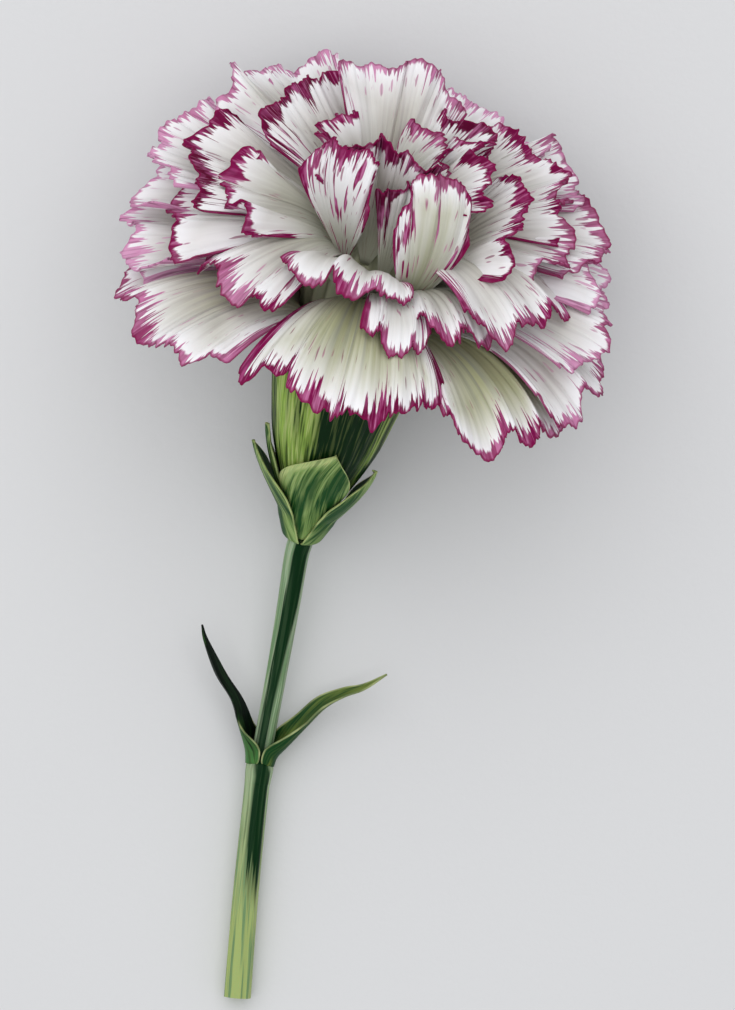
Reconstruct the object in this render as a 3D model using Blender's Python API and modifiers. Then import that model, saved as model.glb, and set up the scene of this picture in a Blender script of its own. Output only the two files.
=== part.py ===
"""A cut carnation lying on a table: stem, a pair of leaves, four bracts, calyx and bloom.

Life size, metres, +Z up with the table at z = 0. The stem runs along +Y to the bloom.
All the driving dimensions below are millimetres and degrees, measured from the stem's
cut end; FOOTPRINT_CENTRE moves the whole flower so that the row origin is the middle of
its footprint.
"""
import math

import bmesh
import bpy
import numpy as np

MM = 0.001
FOOTPRINT_CENTRE = (5.2, 76.4)

# Stem: x, y, z and radius along its length; it swells at the node that carries the leaves.
STEM = [(0.0, 0.0, 2.2, 2.15), (-1.0, 17.0, 2.8, 2.05), (-1.55, 32.5, 3.5, 2.0), (-1.6, 35.4, 3.7, 2.1),
        (-1.6, 37.6, 3.8, 2.2), (-1.55, 40.2, 4.0, 1.66), (-1.0, 52.0, 4.9, 1.66), (-0.6, 63.5, 6.4, 1.82),
        (-0.45, 71.5, 7.6, 1.95), (-0.14, 74.2, 8.5, 2.0)]
STEM_STEPS = 40

# Calyx and bloom share the calyx mouth. Yaw turns their axes to the right of +Y and tilt
# lifts them off the table.
MOUTH = (2.6, 100.0, 20.0)
CALYX_YAW, CALYX_TILT = 6.0, 24.0
BLOOM_YAW, BLOOM_TILT = 6.7, 26.0

# Calyx outline: distance along its axis from the mouth, radius.
CALYX = [(-27.5, 2.1), (-26.3, 2.5), (-24.7, 2.95), (-22.3, 3.7), (-19.0, 5.0), (-14.0, 7.1),
         (-9.2, 8.8), (-4.0, 10.0), (0.0, 10.8), (3.4, 11.4)]
CALYX_WALL = 0.9
CALYX_LOBES, LOBE_TURN, LOBE_LENGTH, LOBE_FLARE = 5, -24.0, 5.4, 2.0

# Bracts: the azimuth (0 faces up) and the half angle at the foot, how much it widens, where
# the sides start to close in (taper) and how fast (power), the place and the turn of the tip,
# how far the blade springs and bulges off the calyx and its rear side splays, and 1 for
# those that lie over the front one.
BRACTS = {
    "bract_front": dict(azimuth=-3, half=44, widen=8, taper=0.55, power=1.15, tip=-8.0, turn=17, spring=0.5,
                        bulge=0.5, splay=0.0, over=0),
    "bract_front_left": dict(azimuth=-42, half=40, widen=6, taper=0.5, power=1.0, tip=-12.1, turn=-38,
                             spring=2.3, bulge=0.3, splay=1.4, over=1),
    "bract_left": dict(azimuth=-81, half=24, widen=8, taper=0.5, power=0.9, tip=-8.8, turn=0, spring=0.4,
                       bulge=0.2, splay=0.8, over=0),
    "bract_right": dict(azimuth=47, half=42, widen=10, taper=0.5, power=1.0, tip=-12.6, turn=36, spring=0.4,
                        bulge=0.5, splay=1.4, over=1),
}
BRACT_THICK, SEAT_GAP = 0.65, 0.42

# Leaves: keel x, y, z, half width, then 1 where the foot clasps the stem and 0 where the
# blade is a folded channel. LEAF_SEAT stands the clasping foot off the stem.
LEAVES = {
    "leaf_left": (-1, [(-3.8, 37.8, 3.8, 3.3, 1.0), (-4.1, 39.6, 3.9, 3.75, 1.0), (-4.8, 41.6, 4.1, 3.7, 0.7),
                       (-6.1, 44.5, 4.5, 2.5, 0.2), (-7.6, 47.7, 5.0, 1.65, 0.0), (-10.6, 51.4, 5.7, 1.35, 0.0),
                       (-13.1, 56.2, 6.1, 0.8, 0.0), (-13.9, 58.9, 6.2, 0.35, 0.0)]),
    "leaf_right": (1, [(0.6, 37.8, 3.8, 3.3, 1.0), (1.0, 39.4, 3.9, 3.75, 1.0), (2.4, 41.4, 4.1, 3.7, 0.7),
                       (5.0, 45.0, 4.6, 2.5, 0.2), (7.6, 48.4, 5.3, 2.1, 0.0), (10.4, 50.6, 6.1, 1.6, 0.0),
                       (13.4, 52.2, 6.5, 1.0, 0.0), (16.7, 55.1, 6.6, 0.35, 0.0)]),
}
LEAF_THICK, LEAF_SEAT, CLASP = 0.7, 0.75, 1.45

# Petals in their layers. Each row is azimuth, then the tip as radius and height in the
# bloom's own frame, then anything that differs from the layer. base: radius and height of
# the root; lean: angle off the axis at the root and at the tip; pull: how far each holds;
# fan: half angle of the blade; belly: widening at half height; corner: how much the
# shoulders are rounded off.
LAYERS = {
    "guard": dict(
        base=(6, 6), lean=(15, 130), pull=(0.5, 0.42), fan=34, ruffle=2.2, waves=1.3,
        rows=[(3, 36.5, 13, dict(base=(6, 11), lean=(0, 150), pull=(0.6, 0.5), fan=36, ruffle=3.0)),
              (-58, 38.5, 11), (53, 39, 10.5, dict(lean=(10, 135), fan=29)),
              (80, 40, 13, dict(fan=26)), (-104, 37.5, 14), (108, 39, 13),
              (-148, 38, 9, dict(base=(5, 4), lean=(28, 118))),
              (178, 38, 9, dict(base=(5, 4), lean=(28, 118))),
              (143, 38, 9, dict(base=(5, 4), lean=(28, 118)))]),
    "outer": dict(
        base=(6, 14), lean=(22, 105), pull=(0.4, 0.4), fan=34, ruffle=2.4, waves=1.2,
        rows=[(-98, 38, 20, dict(roll=-12)), (-114, 37.5, 28, dict(roll=-10)), (96, 38.5, 24, dict(roll=12)),
              (112, 36, 32, dict(roll=10)), (-152, 38, 22), (168, 38, 22), (136, 38, 24)]),
    "collar": dict(
        base=(5, 20), lean=(10, 130), pull=(0.5, 0.4), fan=34, ruffle=2.2, waves=1.2,
        rows=[(-50, 29, 21),
              (-8, 25, 28, dict(base=(8, 18), lean=(35, 130), pull=(0.45, 0.45), fan=36, ruffle=1.3)),
              (15, 29, 22, dict(base=(8, 16), fan=16, lean=(30, 150), pull=(0.5, 0.4), ruffle=1.4)),
              (42, 29, 24.5, dict(base=(8, 18), lean=(35, 125))),
              (64, 32, 26), (-80, 33, 25.5, dict(fan=24, roll=-15, lean=(25, 100)))]),
    "middle": dict(
        base=(6, 24), lean=(22, 78), pull=(0.4, 0.4), fan=36, ruffle=2.6, waves=1.15,
        rows=[(-72, 25.5, 33, dict(fan=33, roll=-22)),
              (-90, 31, 34.5, dict(fan=32, roll=-20, ruffle=1.8)),
              (72, 22.5, 41, dict(base=(8, 22), lean=(30, 50), roll=34, fan=32, ruffle=1.6, corner=0.2)),
              (92, 29, 36, dict(roll=18)),
              (-112, 37, 33, dict(roll=-12)), (110, 34, 35, dict(roll=12)),
              (-140, 33, 41, dict(fan=38)), (-162, 33, 40), (162, 32, 40), (138, 33, 39)]),
    "crown": dict(
        base=(4, 26), lean=(5, 52), pull=(0.4, 0.4), fan=34, ruffle=2.2, waves=1.2,
        rows=[(-137, 20, 45.4, dict(fan=46)), (-171, 18, 49, dict(fan=27)),
              (150, 16, 44), (116, 27, 41, dict(roll=12)),
              (120, 7, 44, dict(base=(2, 28))),
              (-30, 15, 46.5, dict(base=(8, 24), lean=(25, -12), fan=20, belly=0.30, corner=0.30, ruffle=1.5)),
              (28, 16, 45, dict(base=(13, 20.5), lean=(38, -28), fan=18, belly=0.40, corner=0.32, ruffle=1.4)),
              (-80, 12, 44, dict(roll=-20)), (80, 14, 45, dict(roll=25)),
              (-5, 9, 46, dict(base=(8, 25), lean=(0, 8), fan=25, ruffle=1.8)),
              (13, 11.5, 41, dict(base=(11, 23), lean=(0, -5), fan=14, ruffle=1.2))]),
}
PETAL_THICK = 0.8
PETAL_ACROSS, PETAL_ALONG = 6, 4
BLOOM_SEED = 100

# The core that the petals stand out of: distance along the bloom axis, radius.
CORE = [(-21.5, 2.2), (-19.0, 3.6), (-14.0, 5.6), (-8.0, 7.6), (-1.0, 8.5), (5.0, 8.2), (11.0, 8.6),
        (17.0, 9.4), (23.0, 8.6), (27.0, 6.0), (29.5, 2.5)]

# Petals under the flower are pressed along the table: below PRESS_FROM their height eases
# towards zero, and what would still pass below the table is cut flat.
PRESS_FROM, PRESS_SINK = 8.0, 1.8

COLOURS = {"stem": "#5E8A45", "leaf": "#4C7A3C", "bract": "#5F8F4A", "calyx": "#7FA45C",
           "bloom": "#F1EEF0"}


def material(name, colour, roughness):
    mat = bpy.data.materials.new(name)
    mat.use_nodes = True
    rgb = [int(colour[i:i + 2], 16) / 255 for i in (1, 3, 5)]
    rgb = [c / 12.92 if c <= 0.04045 else ((c + 0.055) / 1.055) ** 2.4 for c in rgb]
    shader = mat.node_tree.nodes["Principled BSDF"]
    shader.inputs["Base Color"].default_value = (*rgb, 1.0)
    shader.inputs["Roughness"].default_value = roughness
    return mat


def to_row(points):
    """Millimetres from the cut end to metres from the row origin."""
    points = np.asarray(points, dtype=float)
    return (points - np.array([*FOOTPRINT_CENTRE, 0.0])) * MM


def axis_frame(yaw, tilt):
    """Axis, the side that points right, and the front that faces up."""
    yaw, tilt = math.radians(yaw), math.radians(tilt)
    axis = np.array([math.sin(yaw) * math.cos(tilt), math.cos(yaw) * math.cos(tilt), math.sin(tilt)])
    right = np.array([math.cos(yaw), -math.sin(yaw), 0.0])
    return axis, right, np.cross(right, axis)


def smooth_rows(rows, steps):
    """A Catmull-Rom curve through rows of any width, sampled at steps + 1 places."""
    rows = np.asarray(rows, dtype=float)
    padded = np.vstack([2 * rows[0] - rows[1], rows, 2 * rows[-1] - rows[-2]])
    out = []
    for t in np.linspace(0, len(rows) - 1, steps + 1):
        i = min(int(t), len(rows) - 2)
        f = t - i
        a, b, c, d = padded[i:i + 4]
        out.append(0.5 * (2 * b + (c - a) * f + (2 * a - 5 * b + 4 * c - d) * f ** 2
                          + (3 * b - a - 3 * c + d) * f ** 3))
    return np.array(out)


def grid_object(name, across, along, place, mat):
    """A grid whose corners run u from -1 to 1 and v from 0 to 1, moved by place(u, v)."""
    bm = bmesh.new()
    bmesh.ops.create_grid(bm, x_segments=across, y_segments=along, size=1.0)
    u = np.array([v.co.x for v in bm.verts])
    v = np.array([(vert.co.y + 1) / 2 for vert in bm.verts])
    for vert, co in zip(bm.verts, to_row(place(u, v))):
        vert.co = co
    bmesh.ops.remove_doubles(bm, verts=bm.verts, dist=1e-7)
    bmesh.ops.triangulate(bm, faces=bm.faces[:], quad_method="ALTERNATE")
    mesh = bpy.data.meshes.new(name)
    bm.to_mesh(mesh)
    bm.free()
    mesh.materials.append(mat)
    obj = bpy.data.objects.new(name, mesh)
    bpy.context.scene.collection.objects.link(obj)
    return obj


def apply_modifiers(obj):
    """Turn the object's evaluated shape into its plain mesh."""
    graph = bpy.context.evaluated_depsgraph_get()
    mesh = bpy.data.meshes.new_from_object(obj.evaluated_get(graph))
    mesh.name = obj.name
    obj.modifiers.clear()
    obj.data = mesh
    return obj


def shell(obj, thickness):
    solid = obj.modifiers.new("wall", "SOLIDIFY")
    solid.thickness = thickness * MM
    solid.offset = 0.0
    return apply_modifiers(obj)


def face_outward(obj):
    bm = bmesh.new()
    bm.from_mesh(obj.data)
    bmesh.ops.recalc_face_normals(bm, faces=bm.faces[:])
    if bm.calc_volume(signed=True) < 0:
        bmesh.ops.reverse_faces(bm, faces=bm.faces[:])
    bm.to_mesh(obj.data)
    bm.free()


def largest_body(obj):
    """Keep the outer body: sealed hollows become solid and loose scraps are dropped."""
    bm = bmesh.new()
    bm.from_mesh(obj.data)
    todo, bodies = set(bm.faces), []
    while todo:
        body, edge_of = set(), [todo.pop()]
        while edge_of:
            face = edge_of.pop()
            body.add(face)
            for edge in face.edges:
                for other in edge.link_faces:
                    if other in todo:
                        todo.remove(other)
                        edge_of.append(other)
        bodies.append(body)
    keep = max(bodies, key=len)
    bmesh.ops.delete(bm, geom=[f for f in bm.faces if f not in keep], context="FACES")
    bmesh.ops.triangulate(bm, faces=bm.faces[:])
    bm.to_mesh(obj.data)
    bm.free()


def make_stem(mat):
    curve = bpy.data.curves.new("stem", "CURVE")
    curve.dimensions = "3D"
    curve.bevel_depth = MM
    curve.bevel_resolution = 5
    curve.use_fill_caps = True
    rows = smooth_rows(STEM, STEM_STEPS)
    spline = curve.splines.new("POLY")
    spline.points.add(len(rows) - 1)
    for point, row, co in zip(spline.points, rows, to_row(rows[:, :3])):
        point.co = (*co, 1.0)
        point.radius = row[3]
    curve.materials.append(mat)
    obj = bpy.data.objects.new("stem", curve)
    bpy.context.scene.collection.objects.link(obj)
    graph = bpy.context.evaluated_depsgraph_get()
    mesh = bpy.data.meshes.new_from_object(obj.evaluated_get(graph))
    bpy.data.objects.remove(obj)
    solid = bpy.data.objects.new("stem", mesh)
    bpy.context.scene.collection.objects.link(solid)
    face_outward(solid)
    return solid


def calyx_radius(s):
    fine = smooth_rows(CALYX, 54)
    return np.interp(s, fine[:, 0], fine[:, 1])


def calyx_place(u, v):
    """u goes round the calyx and v from the foot, where it closes, to the lobed rim."""
    axis, right, front = axis_frame(CALYX_YAW, CALYX_TILT)
    around = math.pi * u
    s_foot, s_rim = CALYX[0][0], CALYX[-1][0]
    foot = np.clip(v / 0.08, 0, 1)
    s = s_foot + (s_rim - s_foot) * np.clip((v - 0.08) / 0.72, 0, 1)
    r = (calyx_radius(s) - CALYX_WALL / 2) * foot
    lobe = np.clip((v - 0.8) / 0.2, 0, 1)
    crest = 1 - np.abs(((around - math.radians(LOBE_TURN)) * CALYX_LOBES / math.tau + 0.5) % 1 - 0.5) * 2
    crest = np.sin(crest * math.pi / 2) ** 1.2
    s = s + lobe * (LOBE_LENGTH * crest - 0.5)
    r = r + lobe ** 1.4 * LOBE_FLARE * crest
    ring = np.cos(around)[:, None] * front + np.sin(around)[:, None] * right
    return np.array(MOUTH) + s[:, None] * axis + r[:, None] * ring


def make_calyx(mat):
    obj = grid_object("calyx", 40, 10, calyx_place, mat)
    return shell(obj, CALYX_WALL)


def bract_place(azimuth, half, widen, taper, power, tip, turn, spring, bulge, splay, over):
    """u crosses the blade and v runs from its foot to its tip."""
    axis, right, front = axis_frame(CALYX_YAW, CALYX_TILT)

    def place(u, v):
        foot = CALYX[0][0] + (0.4 if over else 1.0)
        s = foot + (tip - foot) * v
        closing = np.clip((v - taper) / (1 - taper), 0, 0.97)
        wide = (half + widen * v) * (1 - closing ** 1.6) ** power
        swing = 1 - (1 - v) ** 2.2 if over else v ** 4
        around = np.radians(azimuth + turn * swing + wide * u)
        lift = SEAT_GAP + BRACT_THICK / 2 + (BRACT_THICK + SEAT_GAP) * over
        lean = calyx_radius(s + 0.5) - calyx_radius(s - 0.5)
        steep = np.sqrt(1 + lean ** 2)
        free = np.clip((v - 0.35) / 0.65, 0, 1)
        rear = (1 + math.copysign(1.0, azimuth) * u) / 2
        off = spring * free ** 1.2 + bulge * np.sin(math.pi * free)
        off = off + splay * rear ** 1.5 * (free * (1 - v ** 4)) ** 0.7
        r = calyx_radius(s) + lift / steep + off
        s = s - lift * lean / steep
        ring = np.cos(around)[:, None] * front + np.sin(around)[:, None] * right
        return np.array(MOUTH) + s[:, None] * axis + r[:, None] * ring
    return place


def make_bract(name, form, mat):
    return shell(grid_object(name, 6, 10, bract_place(**form), mat), BRACT_THICK)


def leaf_place(rows, stem_side):
    """u crosses the blade and v follows the keel; the foot clasps the stem."""
    path = smooth_rows(rows, 48)
    v_rows = np.linspace(0, 1, len(path))
    ahead_rows = np.gradient(path[:, :3], axis=0)
    ahead_rows /= np.linalg.norm(ahead_rows, axis=1, keepdims=True)

    def place(u, v):
        at = np.stack([np.interp(v, v_rows, column) for column in path.T], axis=1)
        ahead = np.stack([np.interp(v, v_rows, column) for column in ahead_rows.T], axis=1)
        up = np.array([0.0, 0.0, 1.0])
        outward = np.cross(ahead, up) * stem_side
        outward /= np.linalg.norm(outward, axis=1, keepdims=True)
        # The keel turns from facing sideways to facing half down as the blade spreads.
        turn = np.radians(32) * np.clip((v - 0.15) / 0.3, 0, 1)
        keel_out = np.cos(turn)[:, None] * outward - np.sin(turn)[:, None] * up
        across = np.cross(ahead, keel_out)
        width, clasp = at[:, 3], np.clip(at[:, 4], 0, 1)
        near = np.clip(0.5 - stem_side * u * 4.0, 0, 1)
        radius = width / CLASP + LEAF_SEAT
        opened = (1 - clasp) * width * (1 - 0.45 * near)
        fold = np.sqrt(u ** 2 + 0.02) - math.sqrt(0.02)
        inward = clasp * (radius * (np.cos(CLASP * u) - 1) + LEAF_SEAT) - opened * fold * 0.766
        sideways = clasp * radius * np.sin(CLASP * u) + opened * u * 0.803
        return at[:, :3] + inward[:, None] * keel_out + sideways[:, None] * across
    return place


def make_leaf(name, stem_side, rows, mat):
    return shell(grid_object(name, 8, 18, leaf_place(rows, stem_side), mat), LEAF_THICK)


def wave(x, seed, terms=3):
    """A seeded sum of sines about -1 to 1."""
    rng = np.random.default_rng(seed)
    total = 0.0
    for i in range(terms):
        rate = (1 + 0.55 * i) * rng.uniform(0.85, 1.15)
        total = total + np.sin(x * rate + rng.uniform(0, 6.283)) * rng.uniform(0.6, 1.0) / (1 + 0.45 * i)
    return total / 1.3


def bezier(a, b, c, d, t):
    return (1 - t) ** 3 * a + 3 * (1 - t) ** 2 * t * b + 3 * (1 - t) * t ** 2 * c + t ** 3 * d


def petal_place(azimuth, tip_r, tip_s, seed, base, lean, pull, fan, ruffle, waves, roll=0.0, belly=0.0,
                corner=0.10):
    """A fan-shaped blade on a curved midline, ruffled more and more towards its margin."""
    axis, right, front = axis_frame(BLOOM_YAW, BLOOM_TILT)
    az = math.radians(azimuth)
    out = math.cos(az) * front + math.sin(az) * right
    side = -math.sin(az) * front + math.cos(az) * right
    chord = math.hypot(tip_r - base[0], tip_s - base[1])
    slope = math.atan2(tip_r - base[0], tip_s - base[1])
    along = math.sin(slope) * out + math.cos(slope) * axis
    face = -math.cos(slope) * out + math.sin(slope) * axis
    turn = math.radians(roll)
    side, face = side * math.cos(turn) + face * math.sin(turn), face * math.cos(turn) - side * math.sin(turn)
    start, end = (math.radians(a) - slope for a in lean)
    root = np.array(MOUTH) + base[0] * out + base[1] * axis
    size = ruffle / chord

    def place(u, v):
        theta = math.radians(fan) * u
        reach = v * (1 - corner * np.abs(u) ** 3.5) * (1 + 0.035 * wave(theta * 9.0, seed + 11))
        run = bezier(0, pull[0] * math.cos(start), 1 - pull[1] * math.cos(end), 1.0, reach)
        rise = bezier(0, -pull[0] * math.sin(start), pull[1] * math.sin(end), 0.0, reach)
        rise = rise * (0.5 + 0.5 * np.cos(theta * 1.3))
        grow = np.clip((v - 0.3) / 0.7, 0, 1.2) ** 1.6
        phase = math.pi * waves * u * 1.6 + 0.8 * v
        swell = 1 + belly * np.sin(math.pi * np.clip(reach, 0, 1))
        spread = (run + 0.07 * (1 - reach)) * np.sin(theta) * swell + 0.6 * size * grow * wave(phase + 1.3, seed)
        rise = rise + size * grow * wave(phase, seed)
        points = root + chord * ((run * np.cos(theta))[:, None] * along + spread[:, None] * side
                                 + rise[:, None] * face)
        low = points[:, 2] < PRESS_FROM
        points[low, 2] = PRESS_FROM * np.exp((points[low, 2] - PRESS_FROM) / PRESS_FROM)
        points[:, 2] -= PRESS_SINK * np.clip((PRESS_FROM - points[:, 2]) / PRESS_FROM, 0, 1)
        return points
    return place


def core_place(u, v):
    """The claws follow the calyx below its mouth and the bloom's own axis above it."""
    rows = smooth_rows(CORE, 40)
    v_rows = np.linspace(0.06, 0.94, len(rows))
    s = np.interp(v, v_rows, rows[:, 0])
    r = np.interp(v, v_rows, rows[:, 1]) * np.clip(v / 0.06, 0, 1) * np.clip((1 - v) / 0.06, 0, 1)
    points = 0
    for (axis, right, front), share in ((axis_frame(CALYX_YAW, CALYX_TILT), s < 0),
                                        (axis_frame(BLOOM_YAW, BLOOM_TILT), s >= 0)):
        ring = np.cos(math.pi * u)[:, None] * front + np.sin(math.pi * u)[:, None] * right
        points = points + share[:, None] * (s[:, None] * axis + r[:, None] * ring)
    return np.array(MOUTH) + points


def cut_with(obj, cutter, operation):
    boolean = obj.modifiers.new("cut", "BOOLEAN")
    boolean.operation = operation
    boolean.solver = "MANIFOLD"
    boolean.object = cutter
    cutter.hide_render = True
    cutter.display_type = "WIRE"
    apply_modifiers(obj)
    bpy.data.objects.remove(cutter)


def make_bloom(mat):
    bloom = grid_object("bloom", 12, 8, core_place, mat)
    face_outward(bloom)
    petals = bpy.data.collections.new("petals")
    bpy.context.scene.collection.children.link(petals)
    seed = BLOOM_SEED
    for layer, shared in LAYERS.items():
        for row in shared["rows"]:
            form = {key: shared[key] for key in shared if key != "rows"}
            form.update(row[3] if len(row) > 3 else {})
            place = petal_place(*row[:3], seed, **form)
            petal = grid_object("petal", PETAL_ACROSS, PETAL_ALONG, place, mat)
            shell(petal, PETAL_THICK)
            bpy.context.scene.collection.objects.unlink(petal)
            petals.objects.link(petal)
            petal.hide_render = True
            petal.display_type = "WIRE"
            seed += 7
    union = bloom.modifiers.new("petals", "BOOLEAN")
    union.operation = "UNION"
    union.operand_type = "COLLECTION"
    union.collection = petals
    union.solver = "MANIFOLD"
    apply_modifiers(bloom)
    for petal in list(petals.objects):
        bpy.data.objects.remove(petal)
    bpy.data.collections.remove(petals)
    bpy.ops.mesh.primitive_cube_add(size=0.2, location=(0.0, 0.0, -0.1))
    table = bpy.context.object
    cut_with(bloom, table, "DIFFERENCE")
    largest_body(bloom)
    return bloom


def main():
    for obj in list(bpy.data.objects):
        bpy.data.objects.remove(obj)
    mats = {name: material(name, colour, 0.55 if name != "bloom" else 0.7)
            for name, colour in COLOURS.items()}
    make_stem(mats["stem"])
    for name, (stem_side, rows) in LEAVES.items():
        make_leaf(name, stem_side, rows, mats["leaf"])
    for name, form in BRACTS.items():
        make_bract(name, form, mats["bract"])
    make_calyx(mats["calyx"])
    make_bloom(mats["bloom"])


main()
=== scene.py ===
"""The finished look of a cut carnation lying on a table.

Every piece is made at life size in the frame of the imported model. Sizes in the tables
below are millimetres and degrees, measured from the cut end of the stem, with +Y along
the stem to the bloom.
"""
import math

import bmesh
import bpy
import numpy as np
from bpy.props import FloatProperty, IntProperty, PointerProperty, StringProperty
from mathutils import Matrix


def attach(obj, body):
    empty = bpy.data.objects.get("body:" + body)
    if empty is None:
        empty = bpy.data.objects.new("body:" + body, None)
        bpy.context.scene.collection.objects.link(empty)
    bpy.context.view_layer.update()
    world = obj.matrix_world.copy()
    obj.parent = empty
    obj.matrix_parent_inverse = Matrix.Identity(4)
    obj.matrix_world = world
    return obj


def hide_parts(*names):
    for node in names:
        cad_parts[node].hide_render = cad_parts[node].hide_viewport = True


bl_info = {
    "name": "Cut Carnation",
    "version": (1, 0, 0),
    "blender": (4, 5, 0),
    "location": "View3D > Sidebar > Carnation",
    "description": "Makes a cut carnation: bloom, calyx, bracts, leaves and stem",
    "category": "Add Mesh",
}

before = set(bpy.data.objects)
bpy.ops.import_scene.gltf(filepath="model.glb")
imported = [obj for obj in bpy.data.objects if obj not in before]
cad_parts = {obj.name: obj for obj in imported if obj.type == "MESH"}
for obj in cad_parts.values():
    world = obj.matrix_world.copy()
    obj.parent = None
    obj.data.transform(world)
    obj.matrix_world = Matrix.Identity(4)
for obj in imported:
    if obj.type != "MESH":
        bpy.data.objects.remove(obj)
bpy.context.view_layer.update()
MM = 0.001
FOOTPRINT_CENTRE = (5.2, 76.4)

# The two kinds of node that nearly every pattern below needs.
RANGE, MATH = "ShaderNodeMapRange", "ShaderNodeMath"

# The picture's frame: size in pixels, one pixel on the flower in millimetres, where the
# cut end of the stem shows, and how far the stem leans off the picture's upright.
PICTURE = (735, 1010)
PIXEL = 0.159
CUT_END_AT = (235, 1005)
LEAN = 8.0
FOCUS_HEIGHT = 20.0
SENSOR = 36.0

# The stage in metres: the table's side, and the window's side and place.
TABLE_SIDE = 3.0
WINDOW_SIDE = 1.2
WINDOW_AT = (-0.12, 0.22, 0.76)
ROOM_COLOUR = "#F4F6FA"

# The calyx mouth, and how far the calyx and the bloom turn off the stem and rise.
MOUTH = np.array([2.6, 100.0, 20.0])
CALYX_YAW, CALYX_TILT = 6.0, 24.0
BLOOM_YAW, BLOOM_TILT = 6.7, 26.0

# Stem: x, y, z and radius; it swells at the node that carries the leaves.
STEM = [(0.0, 0.0, 2.2, 2.15), (-1.0, 17.0, 2.8, 2.05), (-1.55, 32.5, 3.5, 2.0), (-1.6, 35.4, 3.7, 2.1),
        (-1.6, 37.6, 3.8, 2.2), (-1.55, 40.2, 4.0, 1.66), (-1.0, 52.0, 4.9, 1.66), (-0.6, 63.5, 6.4, 1.82),
        (-0.45, 71.5, 7.6, 1.95), (-0.12, 74.4, 8.6, 2.03), (0.08, 76.0, 9.25, 2.0)]
# Its girth in millimetres, its light, dark and line colours, the dark one both mottle and painted
# shade, the paler colour towards its cut end, and where round it the band of painted shade runs.
STEM_GIRTH = 12.6
STEM_COLOURS = ("#A2B694", "#002A0B", "#6A8A60")
CUT_END_COLOUR = "#A3B46E"
SHADE_STRIPE_AT = -66

# Calyx: distance from the mouth along the axis, and radius. Then how many lobes it has, how
# far they turn, how long they are and how far they flare; at which shares of its height the
# foot closes and the lobes start; and how high its ribs stand.
CALYX = [(-27.5, 2.1), (-26.3, 2.5), (-24.7, 2.95), (-22.3, 3.7), (-19.0, 5.0), (-14.0, 7.1),
         (-9.2, 8.8), (-4.0, 10.0), (0.0, 10.8), (3.4, 11.4)]
CALYX_LOBES, LOBE_TURN, LOBE_LENGTH, LOBE_FLARE = 5, -24.0, 5.4, 2.0
FOOT_TO, LOBES_FROM = 0.08, 0.80
RIB_HEIGHT = 0.14

# Bracts: the azimuth and the half angle at the foot, how much it widens, where the sides
# start to close in (taper) and how fast (power), the place and the turn of the tip, how far
# the blade springs and bulges off the calyx and its rear side splays, and 1 for those that
# lie over the front one.
BRACTS = {
    "bract_front": dict(azimuth=-3, half=44, widen=8, taper=0.55, power=1.15, tip=-8.0, turn=17, spring=0.5,
                        bulge=0.5, splay=0.0, over=0),
    "bract_front_left": dict(azimuth=-42, half=40, widen=6, taper=0.5, power=1.0, tip=-12.1, turn=-38,
                             spring=2.3, bulge=0.3, splay=1.4, over=1),
    "bract_left": dict(azimuth=-81, half=24, widen=8, taper=0.5, power=0.9, tip=-8.8, turn=0, spring=0.4,
                       bulge=0.2, splay=0.8, over=0),
    "bract_right": dict(azimuth=47, half=42, widen=10, taper=0.5, power=1.0, tip=-12.6, turn=36, spring=0.4,
                        bulge=0.5, splay=1.4, over=1),
}

# Leaves: keel x, y, z, half width, then 1 where the foot clasps the stem and 0 where the
# blade is a folded channel.
LEAVES = {
    "leaf_left": (-1, [
        (-3.8, 37.8, 3.8, 3.3, 1.0), (-4.1, 39.6, 3.9, 3.75, 1.0), (-4.8, 41.6, 4.1, 3.7, 0.7),
        (-6.1, 44.5, 4.5, 2.5, 0.2), (-7.6, 47.7, 5.0, 1.65, 0.0), (-10.6, 51.4, 5.7, 1.35, 0.0),
        (-13.1, 56.2, 6.1, 0.7, 0.0), (-13.9, 58.9, 6.2, 0.12, 0.0)]),
    "leaf_right": (1, [
        (0.6, 37.8, 3.8, 3.3, 1.0), (1.0, 39.4, 3.9, 3.75, 1.0), (2.4, 41.4, 4.1, 3.7, 0.7),
        (5.0, 45.0, 4.6, 2.5, 0.2), (7.6, 48.4, 5.3, 2.1, 0.0), (10.4, 50.6, 6.1, 1.6, 0.0),
        (13.4, 52.2, 6.5, 1.0, 0.0), (16.7, 55.1, 6.6, 0.12, 0.0)]),
}
# Their colours: name, light, dark and line; the dark one carries mottle and painted shade.
LEAF_COLOURS = {
    "leaf_left": ("deep", "#4F8040", "#030F06", "#3A7038"),
    "leaf_right": ("olive", "#8A9A48", "#12401A", "#7C9444"),
}
# How far a blade turns up towards the eye, the half angle of its channel, and the half angle,
# in radians, of the arc that its foot clasps the stem with.
LEAF_TURN, CHANNEL_HALF, CLASP_BEND = 32, 40, 1.5
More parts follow.
